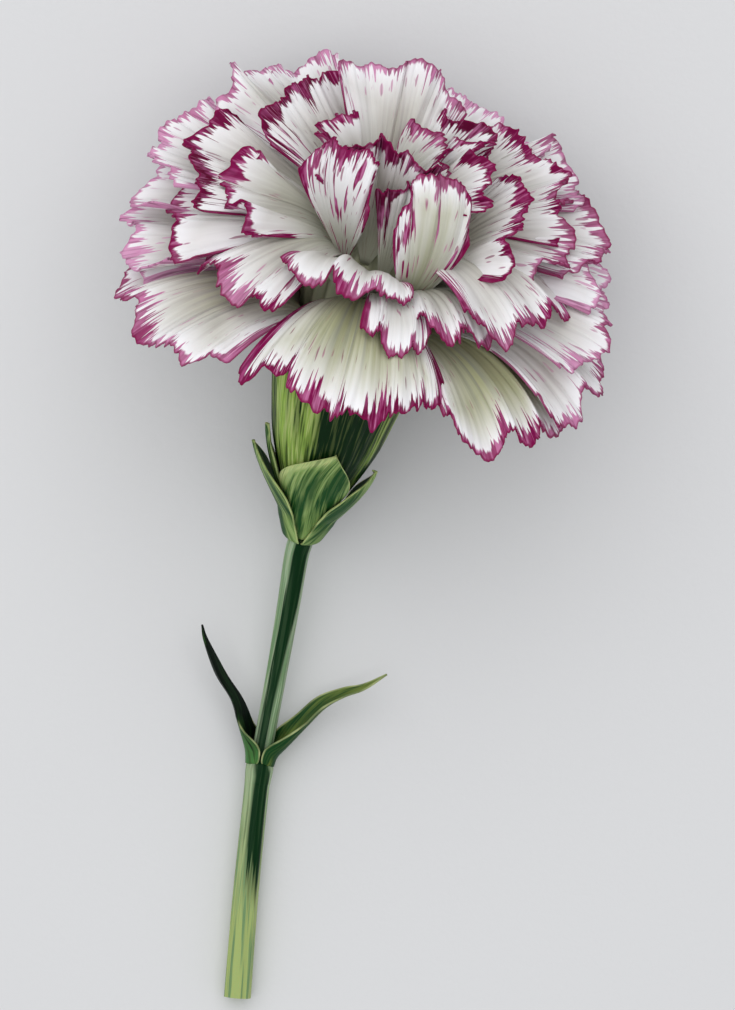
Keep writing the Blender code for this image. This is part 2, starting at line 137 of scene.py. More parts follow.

# Petals, layer by layer: azimuth, then the radius and the height of the tip, then what
# differs from the rest of the layer. base: radius and height of the root; lean: angle off
# the axis at the root and at the tip; pull: how far each holds; fan: half angle of the
# blade; belly: widening at half height; corner: how much the shoulders are rounded off;
# roll: turn about its own length; ruffle and waves: height and number of the folds; lobes:
# depth of the margin's broad lobes; tone: how deep the dye is; cream: how creamy
# the inside is and how far painted shade greys it; flare: 1 where long flares of dye run
# inwards.
LAYERS = {
    "guard": dict(
        base=(6, 6), lean=(15, 130), pull=(0.5, 0.42), fan=34, ruffle=2.2, waves=1.3, lobes=1.4,
        rows=[(3, 36.5, 13, dict(base=(8.2, 11), lean=(0, 150), pull=(0.6, 0.5), fan=39, ruffle=3.0,
                                 cream=1.0, tone=1.25)),
              (-58, 38.5, 11, dict(tone=0.6, cream=0.75)),
              (53, 39, 10.5, dict(lean=(10, 135), fan=29, tone=0.85, cream=1.2)),
              (80, 40, 13, dict(fan=26)),
              (-104, 37.5, 14, dict(tone=0.0)), (108, 39, 13),
              (-148, 38, 9, dict(base=(5, 4), lean=(28, 118))),
              (178, 38, 9, dict(base=(5, 4), lean=(28, 118))),
              (143, 38, 9, dict(base=(5, 4), lean=(28, 118)))]),
    "outer": dict(
        base=(6, 14), lean=(22, 105), pull=(0.4, 0.4), fan=34, ruffle=2.4, waves=1.2, tone=0.35,
        rows=[(-98, 38, 20, dict(tone=-0.1, roll=-12)), (-114, 37.5, 28, dict(tone=-0.1, roll=-10)),
              (96, 38.5, 24, dict(roll=12)), (112, 36, 32, dict(roll=10)),
              (-152, 38, 22), (168, 38, 22), (136, 38, 24)]),
    "collar": dict(
        base=(5, 20), lean=(10, 130), pull=(0.5, 0.4), fan=34, ruffle=2.2, waves=1.2, tone=0.8,
        rows=[(-50, 29, 21),
              (-8, 25, 28, dict(base=(8, 18), lean=(35, 130), pull=(0.45, 0.45), fan=36, ruffle=1.3)),
              (15, 29, 22, dict(base=(8, 16), fan=16, lean=(30, 150), pull=(0.5, 0.4), ruffle=1.4)),
              (42, 29, 24.5, dict(base=(8, 18), lean=(35, 125))),
              (64, 32, 26), (-80, 33, 25.5, dict(fan=24, roll=-15, lean=(25, 100)))]),
    "middle": dict(
        base=(6, 24), lean=(22, 78), pull=(0.4, 0.4), fan=36, ruffle=2.6, waves=1.15, tone=0.7,
        rows=[(-72, 25.5, 33, dict(fan=33, roll=-22, cream=0.7, tone=1.0)),
              (-90, 31, 34.5, dict(fan=32, roll=-20, ruffle=1.8, tone=1.5)),
              (72, 22.5, 41, dict(base=(8, 22), lean=(30, 50), roll=34, fan=32, ruffle=1.6, corner=0.2,
                                  cream=0.6, tone=1.1)),
              (92, 29, 36, dict(roll=18)),
              (-112, 37, 33, dict(roll=-12, tone=0.1)), (110, 34, 35, dict(roll=12)),
              (-140, 33, 41, dict(fan=38, tone=0.2, cream=0.7)), (-162, 33, 40, dict(tone=0.3)),
              (162, 32, 40, dict(tone=0.1)), (138, 33, 39, dict(tone=0.3))]),
    "crown": dict(
        base=(4, 26), lean=(5, 52), pull=(0.4, 0.4), fan=34, ruffle=2.2, waves=1.2, tone=1.0,
        rows=[(-137, 20, 45.4, dict(fan=46, tone=1.5)), (-171, 18, 49, dict(fan=27, tone=0.5)),
              (150, 16, 44, dict(tone=1.4)), (116, 27, 41, dict(roll=12, cream=0.7)),
              (120, 7, 44, dict(base=(2, 28))),
              (-30, 15, 46.5, dict(base=(8, 24), lean=(25, -12), fan=20, belly=0.30, corner=0.30, ruffle=1.5,
                                   cream=-0.3, flare=1.0)),
              (28, 16, 45, dict(base=(13, 20.5), lean=(38, -28), fan=18, belly=0.40, corner=0.32, ruffle=1.4,
                                cream=1.0, flare=1.0)),
              (-80, 12, 44, dict(roll=-20)), (80, 14, 45, dict(roll=25)),
              (-5, 9, 46, dict(base=(8, 25), lean=(0, 8), fan=25, ruffle=1.8, tone=1.5)),
              (13, 11.5, 41, dict(base=(11, 23), lean=(0, -5), fan=14, ruffle=1.2, tone=1.3))]),
}

# Each petal draws its folds and teeth from a seed of its own, and a wave starts anywhere in a
# full turn of radians. A large and a fine tooth take this much of the margin.
BLOOM_SEED, SEED_STEP = 100, 7
FULL_TURN = 6.283
TOOTH_PITCH, FINE_TOOTH_PITCH = 3.3, 1.15

# Packed claws: distance from the mouth along the axis, and radius.
CORE = [(-21.5, 2.2), (-19.0, 3.6), (-14.0, 5.6), (-8.0, 7.6), (-1.0, 8.5), (5.0, 8.2), (11.0, 8.6),
        (17.0, 9.4), (23.0, 8.6), (27.0, 6.0), (29.5, 2.5)]

# The lowest petals are pressed flat on the table: below PRESS_FROM they flatten out, and
# sink by up to PRESS_SINK, and they end LOWEST above the table.
PRESS_FROM, PRESS_SINK, LOWEST = 8.0, 1.8, 0.2

# How many cells each mesh has: round or across it, then along it. The stem's are along it.
CALYX_CELLS = (240, 89)
BRACT_CELLS = (60, 80)
LEAF_CELLS = (48, 160)
CLAW_CELLS = (180, 60)
STEM_CELLS = 220

# Petal colours beside those in the settings: blade first, whose greys, strokes and claw
# darkening are painted shade, then dye.
SHADE_GREY, GREEN_SHADE_GREY, SHADE_STROKE, CLAW_GREEN_AND_SHADE = "#A59D9D", "#A4A583", "#85877F", "#8C8F76"
DARKEST_DYE, ROSY_DYE, PALE_HAIR, DARK_HAIR, RIM = "#5C022C", "#C96CA4", "#DC90BC", "#5E022F", "#800645"


def linear(colour):
    """An sRGB hex colour as linear red, green, blue and alpha."""
    rgb = [int(colour[i:i + 2], 16) / 255 for i in (1, 3, 5)]
    return (*[c / 12.92 if c <= 0.04045 else ((c + 0.055) / 1.055) ** 2.4 for c in rgb], 1.0)


def add(tree, kind, inputs=(), out=0, **settings):
    """A new node with its settings, its input values by order or name, and its links. It gives
    one output, or all of them where out is None."""
    node = tree.nodes.new(kind)
    for key, value in settings.items():
        setattr(node, key, value)
    for key, value in inputs.items() if isinstance(inputs, dict) else enumerate(inputs):
        if isinstance(value, bpy.types.NodeSocket):
            tree.links.new(value, node.inputs[key])
        else:
            node.inputs[key].default_value = value
    return node.outputs if out is None else node.outputs[out]


def product(tree, *factors):
    """The product of factors, each a value, or a tuple of a value and the range that it is
    mapped from, which may go on with the range that it is mapped to."""
    total = None
    for factor in factors:
        value = add(tree, RANGE, factor) if isinstance(factor, tuple) else factor
        total = value if total is None else add(tree, MATH, (total, value), operation="MULTIPLY")
    return total


def layered(tree, base, *layers):
    """Colours laid over a base one after another, each as far as its amount says."""
    for amount, colour in layers:
        base = add(tree, "ShaderNodeMix", {"Factor": amount, "A": base, "B": colour}, "Result",
                   data_type="RGBA")
    return base


def streaks(tree, place, scale, detail, stretch, shift):
    """Noise drawn out along a piece. Place is millimetres across and along it, scale is
    features per millimetre across, stretch is how fast it changes along."""
    at = add(tree, "ShaderNodeVectorMath", (place, (1.0, stretch, 0.0), (0.0, 0.0, shift)),
             operation="MULTIPLY_ADD")
    return add(tree, "ShaderNodeTexNoise", {"Vector": at, "Scale": scale, "Detail": detail}, "Fac")


def new_material(name, roughness, specular):
    """A material with its node tree and its shader."""
    mat = bpy.data.materials.new(name)
    mat.use_nodes = True
    shader = mat.node_tree.nodes["Principled BSDF"]
    shader.inputs["Roughness"].default_value = roughness
    shader.inputs["Specular IOR Level"].default_value = specular
    return mat, mat.node_tree, shader


def finish_material(tree, shader, colour, height, depth, strength, glow, glow_depth):
    """Give the shader its colour, a bump depth metres high and a little light from within."""
    tree.links.new(colour, shader.inputs["Base Color"])
    bump = add(tree, "ShaderNodeBump", {"Height": height, "Distance": depth, "Strength": strength})
    tree.links.new(bump, shader.inputs["Normal"])
    shader.inputs["Subsurface Weight"].default_value = glow
    shader.inputs["Subsurface Scale"].default_value = glow_depth


def to_row(points):
    """Millimetres from the cut end of the stem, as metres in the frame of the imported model."""
    return (np.asarray(points, dtype=float) - np.array([*FOOTPRINT_CENTRE, 0.0])) * MM


def axis_frame(yaw, tilt):
    """Axis, the side that points right, and the front that faces up."""
    yaw, tilt = math.radians(yaw), math.radians(tilt)
    axis = np.array([math.sin(yaw) * math.cos(tilt), math.cos(yaw) * math.cos(tilt), math.sin(tilt)])
    right = np.array([math.cos(yaw), -math.sin(yaw), 0.0])
    return axis, right, np.cross(right, axis)


def smooth_rows(rows, steps):
    """A Catmull-Rom curve through rows of any width, sampled at steps + 1 places."""
    rows = np.asarray(rows, dtype=float)
    padded = np.vstack([2 * rows[0] - rows[1], rows, 2 * rows[-1] - rows[-2]])
    out = []
    for t in np.linspace(0, len(rows) - 1, steps + 1):
        i = min(int(t), len(rows) - 2)
        f = t - i
        a, b, c, d = padded[i:i + 4]
        out.append(0.5 * (2 * b + (c - a) * f + (2 * a - 5 * b + 4 * c - d) * f ** 2
                          + (3 * b - a - 3 * c + d) * f ** 3))
    return np.array(out)


def wave(x, seed, terms=3):
    """A seeded sum of sines about -1 to 1."""
    rng = np.random.default_rng(seed)
    total = 0.0
    for i in range(terms):
        rate = (1 + 0.55 * i) * rng.uniform(0.85, 1.15)
        start = rng.uniform(0, FULL_TURN)
        total = total + np.sin(x * rate + start) * rng.uniform(0.6, 1.0) / (1 + 0.45 * i)
    return total / 1.3


def saw(x):
    """Evenly spaced pointed teeth, 0 at the notch and 1 at the point."""
    return 1 - np.abs(2 * (x - np.floor(x)) - 1)


def bezier(a, b, c, d, t):
    """A cubic curve from a to d, drawn towards b and c on the way."""
    return (1 - t) ** 3 * a + 3 * (1 - t) ** 2 * t * b + 3 * (1 - t) * t ** 2 * c + t ** 3 * d


class Surface:
    """Grids of points gathered into one mesh, with a value per point for the material."""

    def __init__(self):
        self.points, self.faces, self.values, self.count = [], [], {}, 0

    def grid(self, points, values, closed=False):
        """points is rows by columns by 3; closed joins the last column to the first."""
        rows, cols = points.shape[:2]
        index = np.arange(rows * cols).reshape(rows, cols) + self.count
        if closed:
            index = np.hstack([index, index[:, :1]])
        quads = np.stack([index[:-1, :-1], index[:-1, 1:], index[1:, 1:], index[1:, :-1]], axis=-1)
        self.faces.append(quads.reshape(-1, 4))
        self.points.append(points.reshape(-1, 3))
        for key, value in values.items():
            self.values.setdefault(key, []).append(np.broadcast_to(value, (rows, cols)).reshape(-1))
        self.count += rows * cols

    def to_object(self, name, mat, thickness=0.0, offset=0.0, weld=False):
        """The grids as one object; weld closes their seams and poles, and thickness gives them
        a wall, inwards where offset is -1."""
        mesh = bpy.data.meshes.new(name)
        mesh.from_pydata(to_row(np.concatenate(self.points)), [], np.concatenate(self.faces).tolist())
        for key, parts in self.values.items():
            layer = mesh.attributes.new(key, "FLOAT", "POINT")
            layer.data.foreach_set("value", np.concatenate(parts).astype(np.float32))
        mesh.materials.append(mat)
        obj = bpy.data.objects.new(name, mesh)
        bpy.context.scene.collection.objects.link(obj)
        if weld:
            bm = bmesh.new()
            bm.from_mesh(mesh)
            bmesh.ops.remove_doubles(bm, verts=bm.verts, dist=1e-7)
            bmesh.ops.recalc_face_normals(bm, faces=bm.faces[:])
            bm.to_mesh(mesh)
            bm.free()
        if thickness:
            solid = obj.modifiers.new("wall", "SOLIDIFY")
            solid.thickness = thickness
            solid.offset = offset
            plain_mesh(obj)
        obj.data.shade_smooth()
        return obj


def plain_mesh(obj):
    """Turn the evaluated shape into the object's own mesh and drop the modifiers."""
    graph = bpy.context.evaluated_depsgraph_get()
    mesh = bpy.data.meshes.new_from_object(obj.evaluated_get(graph))
    mesh.name = obj.name
    obj.modifiers.clear()
    obj.data = mesh


def finish_piece(obj, node):
    """Hide the imported node that the piece replaces, and hang the piece on the root that carries it."""
    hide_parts(node)
    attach(obj, "root")


def calyx_radius(s):
    """The outer radius of the calyx at distances s from its mouth."""
    fine = smooth_rows(CALYX, 56)
    return np.interp(s, fine[:, 0], fine[:, 1])


def ring_points(s, r, around, yaw=CALYX_YAW, tilt=CALYX_TILT):
    """Points at distances s from the calyx mouth along the axis and r off it."""
    axis, right, front = axis_frame(yaw, tilt)
    ring = np.cos(around)[..., None] * front + np.sin(around)[..., None] * right
    return MOUTH + s[..., None] * axis + r[..., None] * ring


def petal_frame(az, base, tip, roll):
    """The root of a petal, its directions along, across and off the blade, and the length and
    the slope of the straight line from root to tip."""
    axis, right, front = axis_frame(BLOOM_YAW, BLOOM_TILT)
    az, turn = math.radians(az), math.radians(roll)
    out = math.cos(az) * front + math.sin(az) * right
    side = -math.sin(az) * front + math.cos(az) * right
    chord = math.hypot(tip[0] - base[0], tip[1] - base[1])
    slope = math.atan2(tip[0] - base[0], tip[1] - base[1])
    along = math.sin(slope) * out + math.cos(slope) * axis
    face = -math.cos(slope) * out + math.sin(slope) * axis
    side, face = side * math.cos(turn) + face * math.sin(turn), face * math.cos(turn) - side * math.sin(turn)
    return MOUTH + base[0] * out + base[1] * axis, along, side, face, chord, slope


def margin_teeth(arc, seed, tooth, lobes):
    """How far a petal's margin stands out: broad lobes, pointed teeth of uneven depth, and fine
    teeth on those."""
    deep = 0.6 + 0.4 * wave(arc * 0.4, seed + 31)
    large = saw(arc / TOOTH_PITCH + 0.5 * wave(arc * 0.5, seed + 41)) - 0.5
    small = saw(arc / FINE_TOOTH_PITCH + 0.3 * wave(arc, seed + 43)) - 0.5
    return tooth * (lobes * wave(arc * 0.7, seed + 37) + deep * large + 0.45 * small)


def press_on_table(points):
    """Flatten the lowest points, and let them sink a little, towards the table."""
    low = points[..., 2] < PRESS_FROM
    points[low, 2] = PRESS_FROM * np.exp((points[low, 2] - PRESS_FROM) / PRESS_FROM)
    points[..., 2] -= PRESS_SINK * np.clip((PRESS_FROM - points[..., 2]) / PRESS_FROM, 0, 1)
    points[..., 2] = np.maximum(points[..., 2], LOWEST)


def petal_points(az, tip_r, tip_s, seed, u, v, tooth, base, lean, pull, fan, ruffle, waves, roll=0.0,
                 belly=0.0, corner=0.10, lobes=1.0):
    """Points of a fan-shaped blade on a curved midline, with the millimetres to the margin,
    along the margin, and from the root to the tip."""
    root, along, side, face, chord, slope = petal_frame(az, base, (tip_r, tip_s), roll)
    theta = math.radians(fan) * u
    arc = theta * chord
    reach = v * (1 - corner * np.abs(u) ** 3.5) * (1 + 0.035 * wave(theta * 9.0, seed + 11))
    reach = reach + margin_teeth(arc, seed, tooth, lobes) / chord * v ** 4

    # The midline in shares of the chord: run is the way along it, and rise the way off it.
    start, end = (math.radians(a) - slope for a in lean)
    run = bezier(0, pull[0] * math.cos(start), 1 - pull[1] * math.cos(end), 1.0, reach)
    rise = bezier(0, -pull[0] * math.sin(start), pull[1] * math.sin(end), 0.0, reach)
    rise = rise * (0.5 + 0.5 * np.cos(theta * 1.3))

    # The folds grow towards the margin, sideways and off the face, and end in a fine crimp.
    size = ruffle / chord
    grow = np.clip((v - 0.3) / 0.7, 0, 1.2) ** 1.6
    phase = math.pi * waves * u * 1.6 + 0.8 * v
    spread = (run + 0.07 * (1 - reach)) * np.sin(theta) * (1 + belly * np.sin(math.pi * np.clip(reach, 0, 1)))
    spread = spread + 0.6 * size * grow * wave(phase + 1.3, seed)
    crimp = 0.16 * size * v ** 2 * wave(phase * 4.0, seed + 5)
    crimp = crimp + 0.14 * size * v ** 7 * wave(phase * 11, seed + 6)
    rise = rise + size * grow * wave(phase, seed) + crimp
    points = root + chord * ((run * np.cos(theta))[..., None] * along + spread[..., None] * side
                             + rise[..., None] * face)
    press_on_table(points)
    flank = (1 - np.abs(u)) * v * chord * math.radians(fan) + 9.0 * np.clip(0.75 - v, 0, 1)
    return points, np.minimum((1 - v) * chord, flank), arc, chord


def bract_blade(form):
    """Points of a bract that wraps round the calyx, and its values for the material."""
    u, v = np.meshgrid(np.linspace(-1, 1, BRACT_CELLS[0] + 1), np.linspace(0, 1, BRACT_CELLS[1] + 1),
                       indexing="ij")
    bottom = CALYX[0][0] + (-0.2 if form["over"] else 0.7)
    s = bottom + (form["tip"] - bottom) * v
    closing = np.clip((v - form["taper"]) / (1 - form["taper"]), 0, 1)
    wide = (form["half"] + form["widen"] * v) * (1 - closing ** 1.6) ** form["power"]
    swing = 1 - (1 - v) ** 2.2 if form["over"] else v ** 4
    turn = np.radians(form["azimuth"] + form["turn"] * swing + wide * u)

    # How far it lies off the calyx: its free end springs and bulges off, its rear side splays
    # and its margin flutters, and the heel closes down onto the calyx.
    lift = (0.35 + 0.25 * np.clip(v * 4, 0, 1)) * (1 + 1.1 * form["over"])
    free = np.clip((v - 0.35) / 0.65, 0, 1)
    rear = (1 + math.copysign(1.0, form["azimuth"]) * u) / 2
    off = form["spring"] * free ** 1.2 + form["bulge"] * np.sin(math.pi * free)
    off = off + form["splay"] * rear ** 1.5 * free ** 0.7 * (1 - v ** 4)
    flutter = 0.30 * wave(v * 11 + u, 400 + form["azimuth"]) * np.abs(u) ** 3
    hem = (flutter - 0.5 * u ** 2 * free) * free
    heel = np.sqrt(np.clip(1 - (1 - np.clip(v / 0.06, 0, 1)) ** 2, 0, 1))
    r = calyx_radius(s) - 0.4 + (lift + 0.4 + off + hem) * heel

    # Painted shade darkens each blade at mid-length, and those that lie over the front one to the
    # rear. The others grow paler to their left with painted light, most of all on its turned lip,
    # whose paler underside also carries a painted highlight.
    span = wide * r * math.pi / 180
    edge = np.minimum((1 - np.abs(u)) * span, (1 - v) * 14)
    shade = 0.6 * np.sin(math.pi * v) - 0.35
    lip = np.clip(1.4 - edge / 1.7, 0, 1) * np.clip((v - 0.45) / 0.15, 0, 1) * (u < 0)
    shade = shade + (0.9 * rear ** 2 if form["over"] else 1.2 * v ** 2 * np.minimum(u, 0) - 1.5 * lip)
    return ring_points(s, r, turn), dict(along=v * 18, around=span * u + form["azimuth"], edge=edge,
                                         shade=shade)


def leaf_blade(side, rows):
    """Points of a leaf along its keel, and its values for the material. Side is -1 for the left
    leaf and 1 for the right one."""
    path = smooth_rows(rows, LEAF_CELLS[1])
    u, v = np.meshgrid(np.linspace(-1, 1, LEAF_CELLS[0] + 1), np.linspace(0, 1, len(path)))
    ahead = np.gradient(path[:, :3], axis=0)
    ahead /= np.linalg.norm(ahead, axis=1, keepdims=True)
    up = np.array([0.0, 0.0, 1.0])
    outward = np.cross(ahead, up) * side
    outward /= np.linalg.norm(outward, axis=1, keepdims=True)
    turn = np.radians(LEAF_TURN) * np.clip((v[:, :1] - 0.15) / 0.3, 0, 1)
    keel_out = np.cos(turn) * outward - np.sin(turn) * up
    across = np.cross(ahead, keel_out)
    near = np.clip(0.5 - side * u * 4.0, 0, 1)  # 1 on the half nearer the eye

    # The foot is an arc that clasps the stem. The blade opens from it into a channel whose near
    # half is the narrower, and its margins sway.
    heel = np.sqrt(np.clip(1 - (1 - np.clip(v / 0.05, 0, 1)) ** 2, 0, 1))
    width = path[:, 3:4] * (0.86 + 0.14 * heel)
    clasp = np.clip(path[:, 4:5], 0, 1)
    bend = CLASP_BEND * u
    radius = width / CLASP_BEND
    half = math.radians(CHANNEL_HALF)
    fold = np.sqrt(u ** 2 + 0.02) - math.sqrt(0.02)
    open_width = (1 - clasp) * width * (1 - 0.45 * near)
    inward = clasp * radius * (np.cos(bend) - 1) - open_width * fold * math.cos(half)
    sideways = clasp * radius * np.sin(bend) + open_width * u * math.sin(half) * 1.25
    sway = 0.22 * width * u ** 2 * wave(v * 9.0, 3 + (side < 0)) * (1 - clasp)
    points = (path[:, None, :3] + (inward + sway)[..., None] * keel_out[:, None]
              + sideways[..., None] * across[:, None])

    # Painted shade: the left leaf is dark on its far half and beyond its bend, where it has no
    # pale hem. The right one is dark on its near half and in the middle of the far one.
    edge = np.minimum((1 - np.abs(u)) * width, (1 - v) * 22)
    beyond = np.clip((v - 0.34) / 0.16, 0, 1)
    middle = np.sin(math.pi * np.clip(v * 1.3 - 0.1, 0, 1))
    if side < 0:
        shade = (1 - near) * 0.95 + near * (0.05 + 0.9 * beyond)
        edge = edge + 0.5 * beyond
    else:
        shade = near * 0.9 - 0.15 + 0.45 * (1 - near) * middle
    return points, dict(along=v * 24, around=u * width + side * 30, edge=edge,
                        shade=shade - 0.1 + 0.1 * v * side)


def petal_material(settings):
    """Fresh carnation petal: a soft, matt, slightly translucent skin, milk white and creamy in
    the throat, greyed inside with painted shade; the margin is dyed magenta and the dye runs
    inwards along the veins."""
    mat, tree, shader = new_material("carnation petal, white with magenta edge", 0.7, 0.12)
    edge, ray, run, tone, cream, flare = (
        add(tree, "ShaderNodeAttribute", out="Fac", attribute_name=name)
        for name in ("edge", "ray", "run", "tone", "cream", "flare"))
    place = add(tree, "ShaderNodeCombineXYZ", (ray, run))

    # The dyed border is uneven, from some tenths of a millimetre to nearly three deep. Thin
    # tapering fingers stand in groups and run on inwards.
    border = product(tree, (streaks(tree, place, 0.30, 1.0, 0.0, 3.0), 0.44, 0.70, 0.18, 1.4),
                     (tone, 0.2, 1.5, 0.7, 2.0))
    finger = product(tree, (streaks(tree, place, 2.8, 2.0, 0.03, 0.0), 0.40, 0.72))
    finger = add(tree, MATH, (finger, 1.3), operation="POWER")
    finger = product(tree, finger, (streaks(tree, place, 0.30, 1.0, 0.0, 9.0), 0.36, 0.62, 0.12, 1.1))
    depth = add(tree, MATH, (finger, settings.streak_length / MM, border), operation="MULTIPLY_ADD")
    inside = add(tree, MATH, (depth, edge), operation="SUBTRACT")
    dyed = product(tree, (inside, -0.16, 0.18))

    # Flecks lie between the fingers, and two inner petals carry long flares. Each row is the
    # scale, stretch and shift of its noise, the noise's range, the millimetres from the margin
    # where it ends and where it is full, and its strength.
    for scale, stretch, shift, low, high, gone, full, strength in (
            (1.8, 0.13, 5.0, 0.665, 0.70, 10.0, 5.0, 0.7),
            (1.05, 0.12, 21.0, 0.60, 0.64, 9.5, 7.0, flare)):
        mark = product(tree, (streaks(tree, place, scale, 1.0, stretch, shift), low, high),
                       (edge, gone, full), strength)
        dyed = add(tree, MATH, (dyed, mark), operation="MAXIMUM")

    # The blade is white near its margin and turns creamy inside, where painted shade greys it
    # along the veins and in long strokes; it is greenest where it narrows to the claw, and
    # darkest there with painted shade.
    veins = streaks(tree, place, 1.3, 3.0, 0.04, 7.0)
    shade_grey = layered(tree, linear(SHADE_GREY), (product(tree, (cream, 0.7, 1.0)), linear(GREEN_SHADE_GREY)))
    body = layered(
        tree, linear(settings.white),
        (product(tree, (edge, 1.5, 10.0), cream), linear(settings.throat)),
        (product(tree, (veins, 0.40, 0.70, 0.35, 0.85), (cream, -0.3, 1.2, 0.0, 1.55), (edge, 1.0, 8.0)),
         shade_grey),
        (product(tree, (streaks(tree, place, 1.0, 2.0, 0.02, 31.0), 0.50, 0.66, 0.0, 0.65), (edge, 3.5, 9.0),
                 (cream, 0.4, 1.0)), linear(SHADE_STROKE)),
        (product(tree, (run, 20.0, 5.0, 0.0, 0.75)), linear(CLAW_GREEN_AND_SHADE)))

    # The dye is deep or pale by petal and in blotches, with rosy patches, fine pale and dark
    # hairs along the veins, and a dark line on the very rim.
    blotch = product(tree, (streaks(tree, place, 0.12, 1.0, 0.0, 17.0), 0.35, 0.65, -0.35, 0.35))
    shade = add(tree, MATH, (tone, blotch), operation="ADD")
    hairs = streaks(tree, place, 3.4, 2.0, 0.05, 27.0)
    dye = layered(
        tree, linear(settings.pale_edge),
        (shade, linear(settings.deep_edge)),
        (product(tree, (shade, 0.95, 1.6)), linear(DARKEST_DYE)),
        (product(tree, (streaks(tree, place, 0.9, 2.0, 0.5, 13.0), 0.50, 0.75, 0.0, 0.5)), linear(ROSY_DYE)),
        (product(tree, (hairs, 0.52, 0.68, 0.0, 0.55)), linear(PALE_HAIR)),
        (product(tree, (hairs, 0.46, 0.34, 0.0, 0.5)), linear(DARK_HAIR)),
        (product(tree, (edge, 0.35, 0.12), (tone, 0.1, 0.8, 0.1, 0.8)), linear(RIM)))
    shader.inputs["Subsurface Radius"].default_value = (1.0, 0.8, 0.8)
    finish_material(tree, shader, layered(tree, body, (dyed, dye)), veins, 0.0001, 0.35, 0.12, 0.0008)
    return mat


def green_material(name, light, dark, line, roughness, grain, pale_margin=0.0, margin="#B9C884",
                   mottle=0.9, cut_end=""):
    """Carnation green: a satin plant skin under a thin waxy coat, drawn with fine ribs that
    run along the piece, paler towards a cut end, and with a painted highlight on a turned lip.
    The attributes along, around and edge are millimetres; shade is painted shade that darkens
    a side, and far below zero it paints the highlight."""
    mat, tree, shader = new_material(name, roughness, 0.1)
    along, around, edge, shade = (add(tree, "ShaderNodeAttribute", out="Fac", attribute_name=key)
                                  for key in ("along", "around", "edge", "shade"))
    place = add(tree, "ShaderNodeCombineXYZ", (around, along))
    broad = streaks(tree, place, grain[0] * 0.35, 2.0, grain[1] * 2, 1.0)
    fine = streaks(tree, place, grain[0] * 1.6, 2.0, grain[1], 4.0)
    # The dark colour goes where painted shade and the mottle call for it.
    amount = shade
    for spots in ((broad, 0.35, 0.68, 0.0, mottle), (fine, 0.46, 0.34, 0.0, 0.5)):
        amount = add(tree, MATH, (amount, product(tree, spots)), operation="ADD", use_clamp=True)
    if cut_end:
        reach = add(tree, MATH, (fine, -26.0, along), operation="MULTIPLY_ADD")
        amount = product(tree, amount, (reach, 1.0, 9.0))
        paler_end_and_highlight = product(tree, (along, 42.0, 12.0)), linear(cut_end)
    else:
        # Painted highlight on a turned lip, where shade falls far below zero.
        paler_end_and_highlight = product(tree, (shade, -0.6, -1.6)), linear(margin)
    lines = product(tree, (fine, 0.51, 0.62, 0.0, 0.9), (amount, 0.2, 0.95, 1.0, 0.12))
    layers = [paler_end_and_highlight, (amount, linear(dark)), (lines, linear(line))]
    if pale_margin:
        uneven = (streaks(tree, place, 0.5, 1.0, 0.6, 8.0), 0.35, 0.65, 0.35, 1.0)
        hem = product(tree, (edge, pale_margin * 1.5, pale_margin * 0.6), uneven)
        layers.append((hem, linear(margin)))
    finish_material(tree, shader, layered(tree, linear(light), *layers), fine, 0.00015, 0.7, 0.08, 0.001)
    return mat


class BloomSettings(bpy.types.PropertyGroup):
    petal_thickness: FloatProperty(name="Petal thickness", description="Thickness of one petal blade",
                                   default=0.00028, min=0.0001, unit="LENGTH")
    tooth_depth: FloatProperty(name="Tooth depth", description="Depth of the teeth along a petal margin",
                               default=0.0007, min=0.0, unit="LENGTH")
    streak_length: FloatProperty(name="Streak length", description="Length of the longest streaks of dye",
                                 default=0.0045, min=0.0, unit="LENGTH")
    across: IntProperty(name="Cells across", description="Mesh cells across one petal", default=150, min=8)
    along: IntProperty(name="Cells along", description="Mesh cells along one petal", default=28, min=4)
    white: StringProperty(name="Petal white", description="sRGB hex colour of the blade", default="#F7F5F6")
    throat: StringProperty(name="Throat cream", description="sRGB hex colour near the claw",
                           default="#B4B588")
    deep_edge: StringProperty(name="Deep edge", description="sRGB hex colour of the darkest margins",
                              default="#86064F")
    pale_edge: StringProperty(name="Pale edge", description="sRGB hex colour of the palest margins",
                              default="#D9A0C2")


class GreenSettings(bpy.types.PropertyGroup):
    calyx_wall: FloatProperty(name="Calyx wall", description="Thickness of the calyx wall", default=0.0006,
                              min=0.0002, unit="LENGTH")
    blade_thickness: FloatProperty(name="Blade thickness", description="Thickness of leaves and bracts",
                                   default=0.0003, min=0.0002, unit="LENGTH")
    rib_count: IntProperty(name="Calyx ribs", description="Fine ribs round the calyx", default=35, min=0)
    calyx_light: StringProperty(name="Calyx light", description="sRGB hex colour", default="#A0C158")
    # The calyx's dark colour carries its mottle and its painted shade.
    calyx_mottle_and_shade: StringProperty(name="Calyx dark", description="sRGB hex colour", default="#06260A")
    bract_light: StringProperty(name="Bract light", description="sRGB hex colour", default="#86A35C")
    # The bracts' dark colour carries their mottle and their painted shade.
    bract_mottle_and_shade: StringProperty(name="Bract dark", description="sRGB hex colour", default="#1B4A1F")


class StageSettings(bpy.types.PropertyGroup):
    floor: StringProperty(name="Floor colour", description="sRGB hex colour of the table", default="#DDDDDD")
    key: FloatProperty(name="Key light", description="Power of the soft window light", default=4.4,
                       unit="POWER")
    fill: FloatProperty(name="Fill", description="Strength of the room's light", default=0.67)
    lens: FloatProperty(name="Lens", description="Focal length in millimetres", default=250.0)


